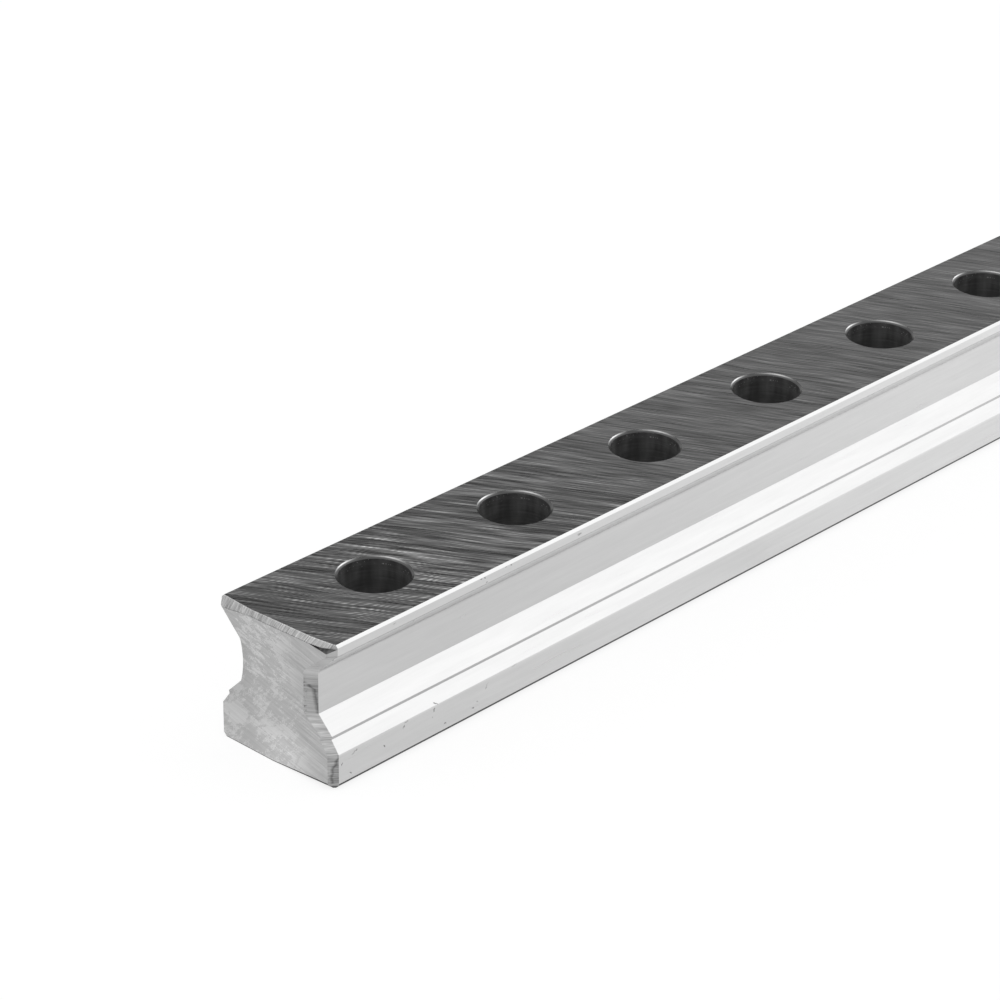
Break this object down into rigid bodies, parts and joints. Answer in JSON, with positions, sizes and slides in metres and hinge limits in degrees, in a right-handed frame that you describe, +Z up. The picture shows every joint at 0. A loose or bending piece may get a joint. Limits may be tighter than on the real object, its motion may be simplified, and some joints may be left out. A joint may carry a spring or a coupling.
{
  "type": "linear guide rail",
  "caption": "Straight ground steel linear guide rail with a waisted section, 45 degree raceways on both sides and counterbored screw holes along the top.",
  "frame": {"origin": "middle of the bottom face", "axes": "+X along the rail away from the end that faces the camera, +Y to the rail's left, +Z up out of the top face"},
  "size_m": [0.22, 0.023, 0.0236],
  "materials": {
    "ground_steel": "ground, satin, with sawn and bevelled ends"
  },
  "bodies": {
    "root": {"guide_rail": "ground_steel"}
  },
  "joints": []
}
